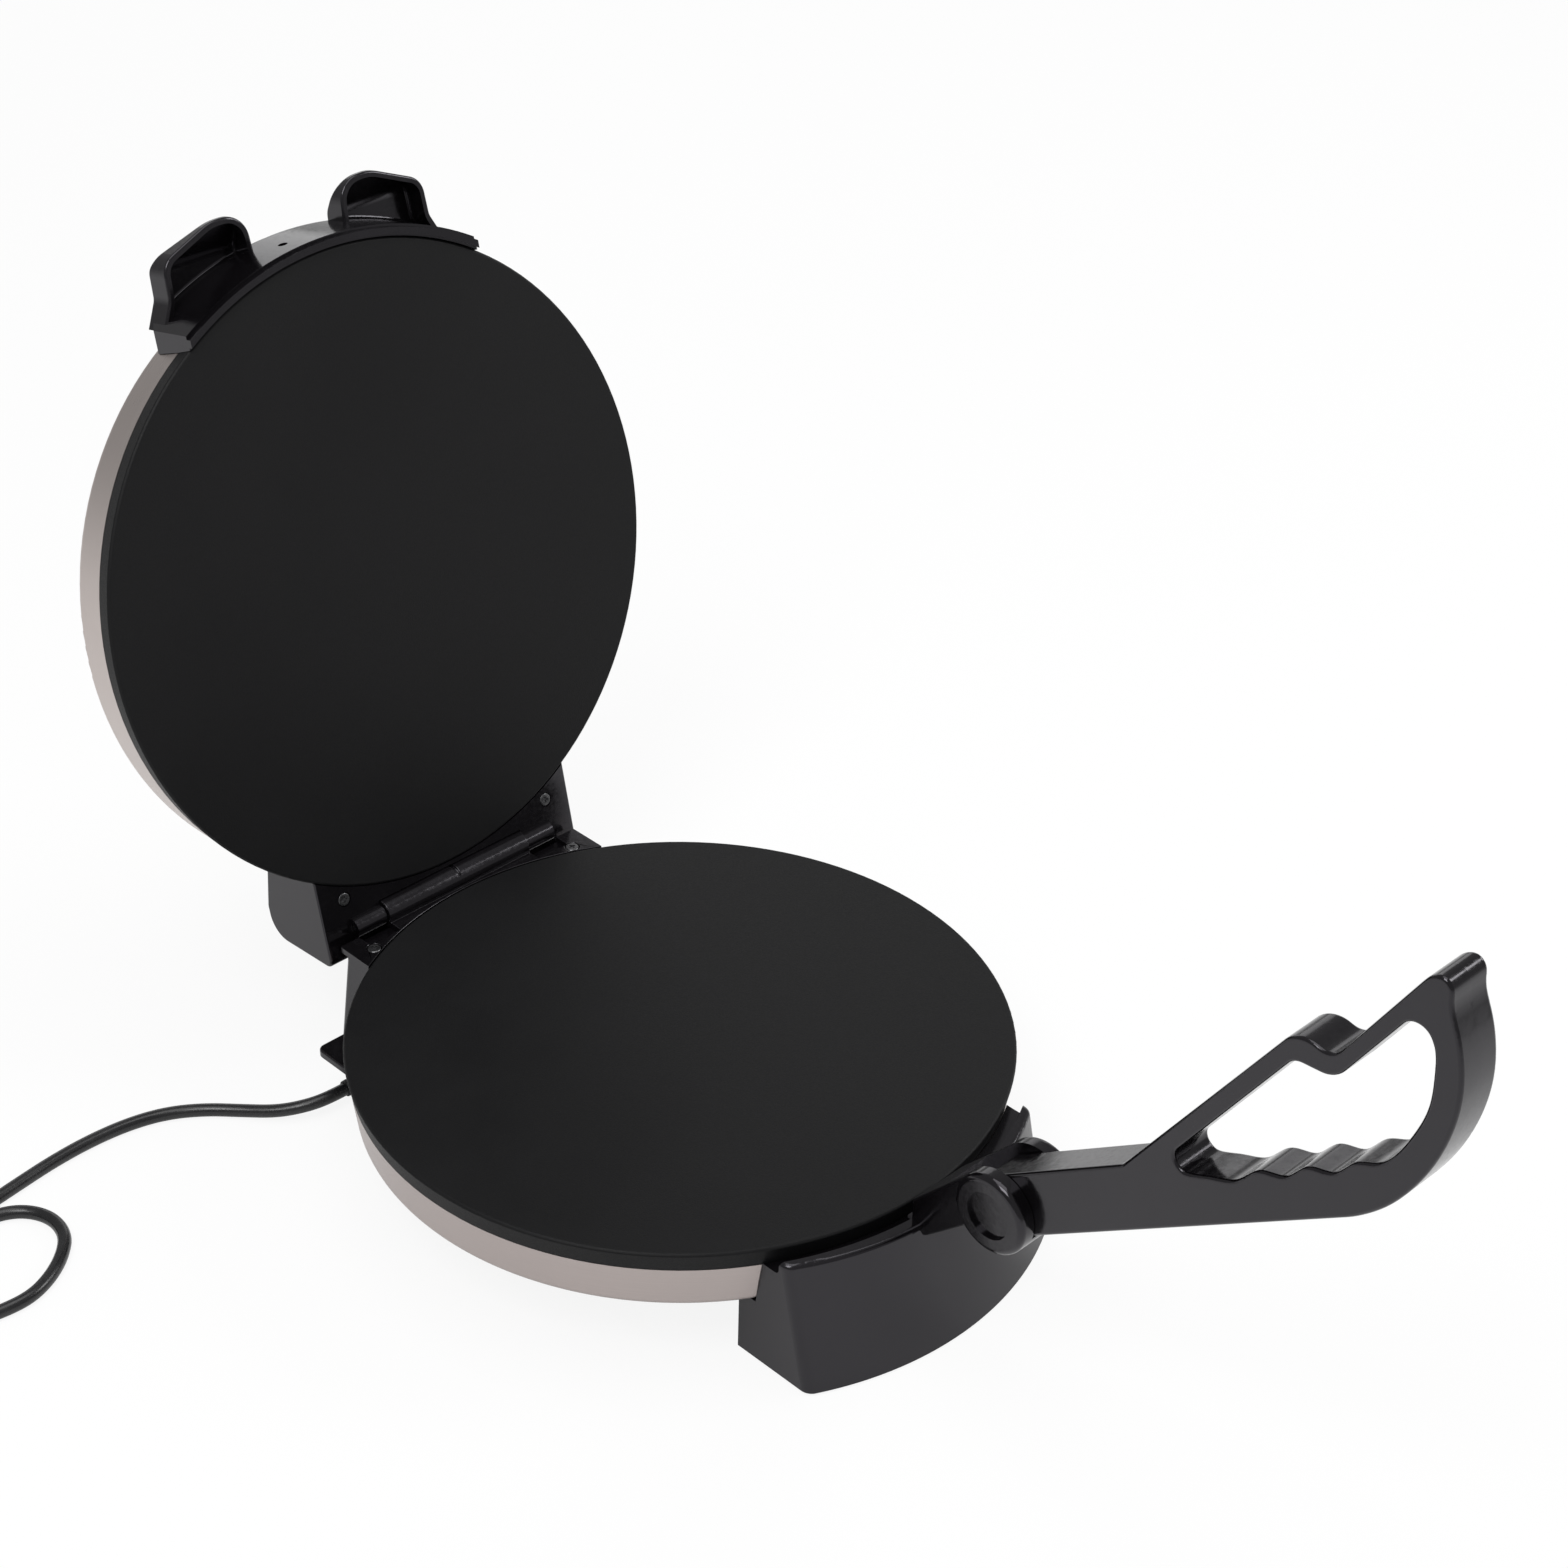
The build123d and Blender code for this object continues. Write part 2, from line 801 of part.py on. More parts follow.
def front_foot():
    """The hollow front foot: a crescent that wraps the base, with the handle's lugs."""
    low = -plate_height + pad_show
    far = -2 * plate_radius
    trim = slab((-foot_half_width, far, low), (foot_half_width, 0, -ledge_drop))
    outer = foot_cone(0) & trim
    corners = outer.edges().filter_by(GeomType.LINE, reverse=True).filter_by(GeomType.CIRCLE, reverse=True)
    outer = fillet(corners, foot_corner_round)
    rim = outer.edges().group_by(Axis.Z)[-1].filter_by(GeomType.LINE, reverse=True)
    outer = fillet(rim, foot_top_round)
    inner_trim = slab(
        (-foot_half_width + stand_wall, far, low),
        (foot_half_width - stand_wall, 0, -gutter_drop - stand_wall),
    )
    cavity = (foot_cone(stand_wall) & inner_trim) - front_void(seam + stand_wall)
    body = outer - cavity - gutter()
    for post in pad_posts(front_pad_place, outer):
        body += post
    body += lugs()
    body -= front_void(seam)
    for shelf in shelves(-90):
        body += shelf
    for pocket in pad_pockets(front_pad_place):
        body -= pocket
    return body


def rear_profile(shrink):
    """Side view of the rear housing: an upright wall that flares to the table."""
    low = -plate_height + pad_show
    high = -deck_drop - deck_thickness - shrink
    return [
        (0, high),
        (rear_wall_y - shrink, high),
        (rear_wall_y + rear_wall_flare - shrink, low),
        (0, low),
    ]


def rear_housing():
    """The hollow stand under the hinge, with the hole for the cord."""
    outer = across(outline(rear_profile(0), [0] * 4), rear_half_width)
    corners = outer.edges().filter_by(Axis.X, reverse=True).group_by(Axis.Y)[-1]
    outer = fillet(corners, rear_corner_round)
    inner = across(outline(rear_profile(stand_wall), [0] * 4), rear_half_width - stand_wall)
    body = outer - (inner - rear_void(seam + stand_wall))
    for post in pad_posts(rear_pad_place, outer):
        body += post
    x, y = deck_screw_place
    top = -deck_drop - deck_thickness
    boss = rod((x, y, top), (0, 0, -1), deck_boss_radius, deck_boss_depth)
    for one in sides(boss):
        body += one & outer
    for one in sides(rod((x, y, top), (0, 0, -1), screw_radius + running_gap, deck_boss_depth)):
        body -= one
    body -= rear_void(seam)
    for shelf in shelves(90):
        body += shelf
    for pocket in pad_pockets(rear_pad_place):
        body -= pocket
    mouth = (-rear_half_width, cord_exit[1], cord_exit[2] - plate_height)
    return body - rod(mouth, (1, 0, 0), relief_root_radius + running_gap, 2 * stand_wall)


def rear_tabs():
    """Flat corner tabs beside the rear housing, under the flange of the band."""
    top = -band_bottom
    side = tab_side_share * plate_radius
    front = tab_front_share * plate_radius
    rear = tab_rear_share * plate_radius
    outline_face = make_face(
        FilletPolyline(
            (side - tab_width, front),
            (side, front),
            (side, rear),
            (side - tab_width, rear),
            radius=[0, tab_corner, tab_corner, 0],
            close=True,
        )
    )
    body = extrude(Pos(0, 0, top - shelf_thickness) * outline_face, amount=shelf_thickness)
    layers = body.edges().group_by(Axis.Z)
    body = fillet(layers[0] + layers[-1], tab_edge)
    body -= rod((0, 0, top), (0, 0, -1), cover_radius() + seam, shelf_thickness)
    x, y = tab_screw_place
    body -= rod((x, y, top), (0, 0, -1), screw_radius + seam, shelf_thickness)
    return sides(body)


def stand_screws():
    """Screws up through the stands' lugs and the tabs into the steel flange."""
    seat = -band_bottom - shelf_thickness
    reach = shelf_thickness + casing_wall + screw_head_height
    return [Pos(x, y, seat) * upside_down(screw(reach)) for x, y in shelf_screw_places()]


# Hinge


def hinge_rod(start_x, end_x, radius):
    return rod((start_x, hinge_y, hinge_z), (1, 0, 0), radius, end_x - start_x)


def hinge_deck():
    """The deck behind the lower plate, with the barrel of the hinge on its edge."""
    top = -deck_drop
    body = slab(
        (-deck_half_width, plate_radius - deck_front_inset, top - deck_thickness),
        (deck_half_width, deck_rear_y, top),
    )
    notch = slab(
        (barrel_half_length, plate_radius - deck_notch_inset, -overrun),
        (lug_end + hinge_side_gap, hinge_y, overrun),
    )
    for one in sides(notch):
        body -= one
    body += slab(
        (-barrel_half_length, deck_rear_y - deck_thickness, top - deck_thickness),
        (barrel_half_length, hinge_y, top),
    )
    body += hinge_rod(-barrel_half_length, barrel_half_length, barrel_radius)
    groove = hinge_rod(-barrel_groove_width / 2, barrel_groove_width / 2, barrel_radius + overrun)
    groove -= hinge_rod(-barrel_groove_width, barrel_groove_width, barrel_radius - barrel_groove_depth)
    body -= groove & slab((-overrun, deck_rear_y, top), (overrun, hinge_y + overrun, overrun))
    body -= hinge_rod(-barrel_half_length, barrel_half_length, hinge_pin_radius + running_gap)
    body -= rod((0, 0, -overrun), (0, 0, 1), plate_radius + seam, 2 * overrun)
    x, y = deck_screw_place
    for one in sides(rod((x, y, top), (0, 0, -1), screw_radius + seam, deck_thickness)):
        body -= one
    for one in sides(rod((x, y, top), (0, 0, -1), screw_head_radius + seam, screw_head_height)):
        body -= one
    return body


def deck_screws():
    """Screws sunk level with the deck."""
    x, y = deck_screw_place
    one = Pos(x, y, -deck_drop - screw_head_height) * screw(deck_boss_depth)
    return sides(one)


def hinge_pin():
    return hinge_rod(-lug_end, lug_end, hinge_pin_radius)


# The lid's own outer pieces, as they lie when it is closed


def lid_void(gap):
    """What the yoke and the hinge block leave free: plate, band and cover."""
    cover = cover_profile(gap)
    profile = [
        (0, -overrun),
        (plate_radius + gap, -overrun),
        (plate_radius + gap, 0),
        (upper_plate_radius + gap, 0),
        (casing_top_radius(upper_plate_radius) + gap, lid_face + skirt_depth),
        cover[1],
        cover[2],
        cover[3],
    ]
    return turned(profile, [0, 0, 0, 0, 0, casing_corner, crown_bend, 0])


def hinge_block():
    """The block behind the lid that joins it to the hinge."""
    rear_y = hinge_y + block_rear_reach
    crest_y = hinge_y + block_crest_reach
    corners = [
        (block_toe_y, block_lift),
        (rear_y, block_lift),
        (crest_y, block_crest_z),
        (block_toe_y + block_toe_z, block_crest_z),
        (block_toe_y, block_toe_z),
    ]
    radii = [0, block_rear_round, block_crest_round, block_toe_round, 0]
    body = across(outline(corners, radii), block_half_width)
    body = fillet(side_edges(body), block_edge)
    inner = [
        (block_toe_y, block_base),
        (rear_y - 2 * block_wall, block_base),
        (crest_y - block_wall, block_crest_z - block_wall),
        (block_toe_y + block_toe_z, block_crest_z - block_wall),
        (block_toe_y + block_toe_z / 2, lid_band_top),
        (block_toe_y, lid_band_top),
    ]
    hollow = across(outline(inner, [0] * len(inner)), block_half_width - block_wall)
    body -= hollow
    start = barrel_half_length + hinge_side_gap
    body -= hinge_rod(-start, start, barrel_radius + hinge_round_gap)
    body += hinge_rod(start, lug_end, hinge_lug_radius)
    body += hinge_rod(-lug_end, -start, hinge_lug_radius)
    body -= hinge_rod(-lug_end - seam, lug_end + seam, hinge_pin_radius + running_gap)
    body -= lid_void(seam)
    for x in (-block_screw_x, block_screw_x):
        seat = (x, block_screw_y, block_lift)
        body -= rod(seat, (0, 0, 1), screw_radius + running_gap, block_screw_bore)
        body -= rod(seat, (0, 0, 1), screw_head_radius + seam, screw_head_height)
    for x, y in block_top_screw_places():
        body -= rod((x, y, 0), (0, 0, 1), screw_radius + running_gap, block_crest_z + overrun)
    return body


def block_top_screw_places():
    y = hinge_y - block_top_screw_inset
    return [(-block_top_screw_x, y), (block_top_screw_x, y)]


def block_screws():
    """Screws in the underside of the hinge block."""
    seat = block_lift + screw_head_height
    shank = tapped_depth - screw_head_height
    one = upside_down(screw(shank))
    return [Pos(x, block_screw_y, seat) * one for x in (-block_screw_x, block_screw_x)]


def yoke_screw_places():
    places = []
    circle = yoke_radius - yoke_screw_inset
    for side in (-1, 1):
        angle = math.radians(-90 + side * yoke_screw_angle)
        places.append((circle * math.cos(angle), circle * math.sin(angle)))
    return places


def yoke_screws():
    """Screws through the top of the yoke into the lid's cover."""
    reach = yoke_top - lid_band_top + 2 * casing_wall
    return [Pos(x, y, yoke_top) * screw(reach) for x, y in yoke_screw_places()]


def yoke_wall():
    lip_radius = yoke_radius - yoke_lip_step
    profile = [
        (yoke_inner_radius, -yoke_lip_drop),
        (lip_radius, -yoke_lip_drop),
        (lip_radius, yoke_step),
        (yoke_radius, yoke_step),
        (yoke_radius, yoke_top),
        (yoke_inner_radius, yoke_top),
    ]
    ring = turned(profile, [0, 0, 0, 0, yoke_top_round, 0])
    ends = [
        (-yoke_end_x, -overrun),
        (yoke_end_x, -overrun),
        (yoke_end_x, yoke_end_z),
        (yoke_end_back_x, yoke_top),
        (-yoke_end_back_x, yoke_top),
        (-yoke_end_x, yoke_end_z),
    ]
    keep = extrude(Plane.XZ * outline(ends, [0] * len(ends)), amount=plate_radius + overrun)
    return ring & keep


def ear_face(shrink):
    """The ear's outline on the right side, seen from above."""
    points = []
    radii = []
    for along, out, bend in ear_outline_shares:
        points.append((ear_near_x + along * ear_width, -yoke_inner_radius - out * ear_reach))
        radii.append(bend * ear_reach)
    face = outline(points, radii)
    return offset(face, amount=-shrink) if shrink else face


def ear_block(shrink, drop):
    """The ear's outline as a block under a roof that falls outward."""
    high = yoke_top - ear_roof / 2 - drop
    profile = [
        (-yoke_inner_radius, ear_low),
        (-yoke_inner_radius, high),
        (-yoke_inner_radius - ear_crease_reach, high),
        (-yoke_inner_radius - ear_fall_reach, high - ear_fall),
        (-yoke_inner_radius - ear_fall_reach, ear_low),
    ]
    roofed = across(outline(profile, [0, 0, ear_crease_round, 0, 0]), yoke_end_x)
    return extrude(Pos(0, 0, ear_low) * ear_face(shrink), amount=yoke_top) & roofed


def ear():
    """A lift ear: a hood that stands out from the yoke, open below."""
    body = ear_block(0, 0)
    body = fillet(body.edges().filter_by(Axis.Z, reverse=True).filter_by(Axis.X, reverse=True), ear_edge)
    scoop = ear_block(ear_wall, ear_roof)
    scoop -= rod((0, 0, ear_low), (0, 0, 1), yoke_radius, yoke_top)
    layers = scoop.edges().filter_by(Axis.Z, reverse=True).filter_by(Axis.X, reverse=True)
    scoop = fillet(layers.filter_by_position(Axis.Z, ear_low + seam, yoke_top), ear_hollow_round)
    return body - scoop - rod((0, 0, 0), (0, 0, 1), yoke_radius - stand_wall, yoke_top)


def lid_yoke():
    body = yoke_wall()
    for one in sides(ear()):
        body += one
    body -= lid_void(seam)
    hole = rod((-yoke_hole_x, -plate_radius, yoke_hole_z), (0, -1, 0), yoke_hole_radius, overrun)
    body -= hole
    for x, y in yoke_screw_places():
        body -= rod((x, y, 0), (0, 0, 1), screw_radius + seam, yoke_top)
    return body


def opened(shape):
    """Turns a piece of the closed lid to where it stands open."""
    axis = Axis((0, hinge_y, hinge_z), (1, 0, 0))
    return shape.rotate(axis, -lid_open_angle)


def on_lid(shape):
    """Turns a heated half over, so that it faces the lower one."""
    return Pos(0, 0, lid_face) * mirror(shape, about=Plane.XY)


# Handle


def handle_plane(swing):
    """The lever's plane: u along the arm, w across it, with the pivot at zero."""
    rise = math.radians(handle_rest_rise + swing)
    along = (0, -math.cos(rise), math.sin(rise))
    return Plane(origin=(0, pivot_y, pivot_z), x_dir=along, z_dir=(-1, 0, 0))


def scaled(share_point):
    return tuple(handle_reach * value for value in share_point[:2])


def heading(direction):
    """A direction of length one, for the end of a smooth curve."""
    return Vector(*direction).normalized()


def smooth_curve(points, start, end):
    """A curve through points, with its direction given at both ends."""
    return Spline(*points, tangents=[heading(start), heading(end)], tangent_scalars=[1, 1])


def lever_outline():
    """The lever's outer edge: knuckle, arm, stepped top, lipped tip and rounded back."""
    corners = [(0, arm_top)]
    corners += [scaled(point) for point in outer_shares] + [scaled(tip_shares)]
    corners[1] = (outer_shares[0][0] * handle_reach, arm_top)
    radii = [handle_reach * point[2] for point in outer_shares]
    top = FilletPolyline(*corners, radius=radii)
    arm_end = (arm_end_share * handle_reach, -arm_bottom)
    back = [scaled(tip_shares)] + [scaled(point) for point in back_curve_shares] + [arm_end]
    curve = smooth_curve(back, tip_slope_shares, (-1, 0))
    under = Line(arm_end, (0, -arm_bottom))
    close = Line((0, -arm_bottom), (0, arm_top))
    return make_face(top.edges() + [curve, under, close])


def grip_opening():
    """The finger opening, with its grooves below and the step above."""
    corners = [scaled(grip_start_shares)]
    corners += [scaled(point) for point in grip_top_shares] + [scaled(grip_end_shares)]
    top = FilletPolyline(*corners, radius=[handle_reach * point[2] for point in grip_top_shares])
    waves = [corners[0]] + [scaled(point) for point in groove_shares] + [corners[-1]]
    below = smooth_curve(waves, grip_start_fall_shares, grip_end_rise_shares)
    return make_face(top.edges() + [below])


def lever_body(side):
    """One half of the lever, to the left (-1) or right (1) of its middle plane."""
    face = lever_outline() + Circle(knuckle_radius) - grip_opening()
    body = extrude(handle_plane(0) * face, amount=-side * handle_half_width)
    outer_layer = body.edges().group_by(Axis.X)[-1 if side > 0 else 0]
    body = fillet(outer_layer, handle_edge)
    bore_radius = handle_pin_radius + running_gap + bush_wall + running_gap
    body -= extrude(handle_plane(0) * Circle(bore_radius), amount=-side * handle_half_width)
    for point in handle_screw_shares:
        place = handle_plane(0) * Pos(*scaled(point), 0)
        bore = place * Circle(screw_radius + running_gap)
        body -= extrude(bore, amount=-side * handle_screw_bore_share * handle_half_width)
        if side > 0:
            seat = handle_half_width / 2
            body -= extrude(place * Pos(0, 0, -seat) * Circle(screw_head_radius + seam), amount=-seat)
    return body


def handle_screws():
    """Screws that draw the halves together, sunk in the right half."""
    found = []
    for point in handle_screw_shares:
        place = handle_plane(0) * Pos(*scaled(point), -handle_half_width / 2)
        found.append(place * upside_down(screw(handle_half_width)))
    return found


def handle_bush():
    outer = handle_pin_radius + running_gap + bush_wall
    body = rod((-handle_half_width, pivot_y, pivot_z), (1, 0, 0), outer, 2 * handle_half_width)
    inner = handle_pin_radius + running_gap
    return body - rod((-handle_half_width, pivot_y, pivot_z), (1, 0, 0), inner, 2 * handle_half_width)


def handle_pin():
    half = lug_half_width - lug_recess_depth
    return rod((-half, pivot_y, pivot_z), (1, 0, 0), handle_pin_radius, 2 * half)


def pivot_caps():
    start = lug_half_width - lug_recess_depth
    cap = rod((start, pivot_y, pivot_z), (1, 0, 0), lug_recess_radius - running_gap, cap_thickness)
    return sides(cap)


# Power cord


def tube_radii(points):
    """The largest arc that each corner of a cord's route allows."""
    radii = []
    for before, here, after in zip(points, points[1:], points[2:]):
        first = Vector(*here) - Vector(*before)
        second = Vector(*after) - Vector(*here)
        half_turn = math.radians(first.get_angle(second) / 2)
        run = min(first.length, second.length)
        radii.append(cord_bend_share * run / math.tan(half_turn))
    return radii


def cord_tube(name, points):
    """A round cord along straight runs joined by arcs, laid on the table."""
    laid = [(x, y, z - plate_height) for x, y, z in points]
    radii = tube_radii(laid)
    print(name, "arc radii", [round(radius, 1) for radius in radii])
    path = FilletPolyline(*laid, radius=radii)
    section = Plane(origin=path @ 0, z_dir=path % 0) * Circle(cord_radius)
    body = sweep(section, path=path)
    share = body.volume / (math.pi * cord_radius**2 * path.length)
    print(name, "length", round(path.length, 1), "volume over section times length", round(share, 4))
    return body


def coil_outer_radius():
    return coil_mid_radius + coil_pitch * coil_turns_per_layer / 2


def half_turn(start, end, heading):
    """A flat half turn, as two quarter arcs."""
    first = Vector(*start)
    last = Vector(*end)
    middle = (first + last) / 2
    radius = (last - first).length / 2
    bulge = middle + Vector(*heading) * radius
    one = TangentArc(first, bulge, tangent=heading)
    two = TangentArc(bulge, last, tangent=one % 1)
    return [one, two]


def coil_edges():
    """Turns that spiral in on the table, climb a layer and spiral out again."""
    start_x, start_y, floor_z = cord_route[-1]
    radius = coil_outer_radius()
    x = start_x - cord_diameter
    y = start_y - radius
    z = floor_z - plate_height
    step = coil_pitch / 2
    heading = -1
    place = (x, y + radius, z)
    edges = [Line((start_x, start_y, z), place)]
    half_turns = 2 * coil_turns_per_layer
    for _ in range(half_turns):
        radius -= step
        end = (x, y + heading * radius, z)
        edges += half_turn(place, end, (heading, 0, 0))
        place = end
        heading = -heading
    end = (x, y + heading * radius, z + coil_layer_step)
    reach = math.hypot(radius, coil_layer_step / 2)
    side = (x + heading * reach, y, z + coil_layer_step / 2)
    climb = TangentArc(place, side, tangent=(heading, 0, 0))
    edges += [climb, TangentArc(side, end, tangent=climb % 1)]
    place = end
    z += coil_layer_step
    heading = -heading
    for _ in range(half_turns):
        radius += step
        end = (x, y + heading * radius, z)
        edges += half_turn(place, end, (heading, 0, 0))
        place = end
        heading = -heading
    edges.append(Line(place, (start_x, place[1], z)))
    return edges


def least_self_gap(edges, samples=40):
    """The least free space between turns of the coil, measured on points."""
    points = [edge @ (i / samples) for edge in edges for i in range(samples)]
    lengths = [0]
    for one, two in zip(points, points[1:]):
        lengths.append(lengths[-1] + (two - one).length)
    apart = 3 * cord_diameter
    gaps = [
        (points[i] - points[j]).length
        for i in range(0, len(points))
        for j in range(i + 1, len(points))
        if lengths[j] - lengths[i] > apart
    ]
    return min(gaps) - cord_diameter


def cord_coil():
    """The put-away length of the cord: a neat coil of two layers."""
    edges = coil_edges()
    path = Wire(edges)
    print("coil least gap to itself", round(least_self_gap(edges), 2), "length", round(path.length, 1))
    section = Plane(origin=path @ 0, z_dir=path % 0) * Circle(cord_radius)
    return sweep(section, path=path)


def strain_relief():
    """The ribbed rubber sleeve that leads the cord out of the rear housing."""
    tip, y, z = cord_exit
    wall = -rear_half_width
    relief_length = wall - tip
    height = z - plate_height
    sleeve = Cone(relief_root_radius, relief_tip_radius, relief_length)
    body = Pos(tip + relief_length / 2, y, height) * Rot(0, -90, 0) * sleeve
    flange = (wall - relief_flange_thickness, y, height)
    body += rod(flange, (1, 0, 0), relief_flange_radius, relief_flange_thickness)
    body += rod(flange, (1, 0, 0), relief_root_radius, 2 * stand_wall)
    pitch = relief_length / (relief_rib_count + 1)
    for i in range(relief_rib_count):
        start = tip + (i + 0.5) * pitch
        ring = rod((start, y, height), (1, 0, 0), relief_root_radius + relief_rib_depth, relief_rib_width)
        share = (start - tip) / relief_length
        radius = relief_tip_radius + share * (relief_root_radius - relief_tip_radius) - relief_rib_depth
        body -= ring - rod((start, y, height), (1, 0, 0), radius, relief_rib_width)
    return body


def plug():
    """The moulded plug, with a short neck where the cord goes in."""
    x, y, z = tail_route[-1]
    height = z - plate_height
    length, width, thickness = plug_size
    start = x - plug_neck_length
    neck = rod((x, y, height), (-1, 0, 0), plug_neck_radius, plug_neck_length)
    body = Pos(start - length / 2, y, height) * Box(length, width, thickness)
    body = fillet(body.edges().filter_by(Axis.X), plug_round)
    return body + neck


def plug_blades():
    x, y, z = tail_route[-1]
    length, thickness, width = blade_size
    end = x - plug_neck_length - plug_size[0]
    low = z - plate_height - width / 2
    blades = []
    for side in (-1, 1):
        middle = y + side * blade_spacing / 2
        near = (end - length, middle - thickness / 2, low)
        blades.append(slab(near, (end, middle + thickness / 2, low + width)))
    return blades


def build():
    """Every node of the object, as lists of solids, about the lower plate."""
    lid_half = {
        "upper_plate": [half_plate(upper_plate_radius)],
        "upper_heating_element": [half_element()],
        "upper_heat_shield": [half_shield()],
        "upper_thermostat": [half_thermostat()],
    }
    lid_closed = {
        "upper_casing": [upper_casing()],
        "upper_studs": upper_studs(),
        "lid_yoke": [lid_yoke()],
        "yoke_screws": yoke_screws(),
        "hinge_block": [hinge_block()],
        "block_screws": block_screws(),
    }
    nodes = {
        "lower_plate": [half_plate(plate_radius)],
        "lower_heating_element": [half_element()],
        "lower_heat_shield": [half_shield()],
        "lower_thermostat": [half_thermostat()],
        "lower_casing": [lower_casing()],
        "lower_spacers": lower_spacers(),
        "bottom_cover": [bottom_cover()],
        "bottom_screws": bottom_screws(),
        "thermal_fuse": [thermal_fuse()],
        "terminal_block": [terminal_block()],
        "inner_leads": inner_leads(),
        "front_foot": [front_foot()],
        "front_rubber_feet": rubber_feet(front_pad_place),
        "rear_housing": [rear_housing()],
        "rear_rubber_feet": rubber_feet(rear_pad_place),
        "rear_tabs": rear_tabs(),
        "stand_screws": stand_screws(),
        "hinge_deck": [hinge_deck()],
        "deck_screws": deck_screws(),
        "hinge_pin": [hinge_pin()],
        "handle_pin": [handle_pin()],
        "pivot_caps": pivot_caps(),
        "handle_left_half": [lever_body(-1)],
        "handle_right_half": [lever_body(1)],
        "handle_screws": handle_screws(),
        "handle_bush": [handle_bush()],
    }
    for name, solids in lid_half.items():
        nodes[name] = [opened(on_lid(solid)) for solid in solids]
    for name, solids in lid_closed.items():
        nodes[name] = [opened(solid) for solid in solids]
    return nodes


def build_cord():
    return {
        "strain_relief": [strain_relief()],
        "power_cord": [cord_tube("power_cord", cord_route)],
        "cord_coil": [cord_coil()],
        "cord_tail": [cord_tube("cord_tail", tail_route)],
        "plug": [plug()],
        "plug_blades": plug_blades(),
    }


def main():
    os.makedirs("parts", exist_ok=True)
    nodes = build()
    boxes = [solid.bounding_box() for solids in nodes.values() for solid in solids]
    front = min(box.min.Y for box in boxes)
    rear = max(box.max.Y for box in boxes)
    middle = (front + rear) / 2
    print("middle", round(middle, 3), "front", round(front, 2), "rear", round(rear, 2))
    nodes.update(build_cord())
    for name, solids in nodes.items():
        placed = [Pos(0, -middle, plate_height) * solid for solid in solids]
        shape = placed[0] if len(placed) == 1 else Compound(children=placed)
        export_step(shape, f"parts/{name}.step")


main()
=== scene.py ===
import json
from math import cos, radians, sin

import bpy
from mathutils import Matrix, Vector


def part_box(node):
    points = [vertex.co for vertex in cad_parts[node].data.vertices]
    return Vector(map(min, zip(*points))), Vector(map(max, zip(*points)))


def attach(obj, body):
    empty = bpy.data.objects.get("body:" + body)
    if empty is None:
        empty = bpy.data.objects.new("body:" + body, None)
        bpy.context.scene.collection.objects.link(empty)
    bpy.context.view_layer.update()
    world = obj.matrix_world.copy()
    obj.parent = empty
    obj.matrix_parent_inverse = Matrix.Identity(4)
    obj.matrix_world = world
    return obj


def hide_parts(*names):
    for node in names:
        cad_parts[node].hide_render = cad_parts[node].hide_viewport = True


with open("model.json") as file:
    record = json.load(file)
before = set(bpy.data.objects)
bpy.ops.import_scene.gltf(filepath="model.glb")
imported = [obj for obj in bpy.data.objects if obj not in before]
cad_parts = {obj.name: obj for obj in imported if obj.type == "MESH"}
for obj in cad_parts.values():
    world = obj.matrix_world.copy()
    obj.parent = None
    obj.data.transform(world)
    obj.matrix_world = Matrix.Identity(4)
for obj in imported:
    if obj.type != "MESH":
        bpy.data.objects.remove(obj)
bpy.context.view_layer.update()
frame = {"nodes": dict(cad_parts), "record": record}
MM = 0.001

bodies = frame["record"]["behaviour"]["bodies"]
body_of_node = {node: body for body, nodes in bodies.items() for node in nodes}
slot_of_node = {entry["node"]: entry["material_slot"] for entry in frame["record"]["subparts"]}

# The middle of the lower cooking face, from which all is measured
low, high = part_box("lower_plate")
PLATE = Vector(((low.x + high.x) / 2, (low.y + high.y) / 2, high.z))
TABLE = Vector((PLATE.x, PLATE.y, 0))
PLATE_RADIUS = 152.5

# The lid stands open by this turn at rest, measured from where it lies closed
LID_OPEN = radians(-103.2)


def deselect():
    bpy.ops.object.select_all(action="DESELECT")


def take(piece):
    """Makes one piece the selected and active one."""
    deselect()
    piece.select_set(True)
    bpy.context.view_layer.objects.active = piece


def place(data, name):
    """Puts a new object of the scene into the collection."""
    piece = bpy.data.objects.new(name, data)
    bpy.context.collection.objects.link(piece)
    return piece


deselect()


# Finishes. Each is mixed from noise on Object coordinates, so it stays on its piece

# The middle stretch of a noise, where most of its values lie
NOISE_LOW = 0.35
NOISE_HIGH = 0.65
PATCH_DETAIL = 4.0
SKIN_DETAIL = 3.0
SKIN_ROUGHNESS = 0.55
STREAK_DETAIL = 4.0
STREAK_ROUGHNESS = 0.7
GLOSS_GRAIN = 0.05
BUMP_STRENGTH = 0.6


def node(tree, kind, **settings):
    """A shader node, with its own settings and its inputs given by name."""
    made = tree.nodes.new(kind)
    for key, value in settings.items():
        if hasattr(made, key):
            setattr(made, key, value)
        else:
            made.inputs[key.replace("_", " ")].default_value = value
    return made


def grain(tree, coordinates, scale, detail=SKIN_DETAIL, roughness=SKIN_ROUGHNESS):
    """A noise pattern, scaled in cells per metre."""
    made = node(tree, "ShaderNodeTexNoise", Scale=scale, Detail=detail, Roughness=roughness)
    tree.links.new(coordinates, made.inputs["Vector"])
    return made.outputs["Fac"]


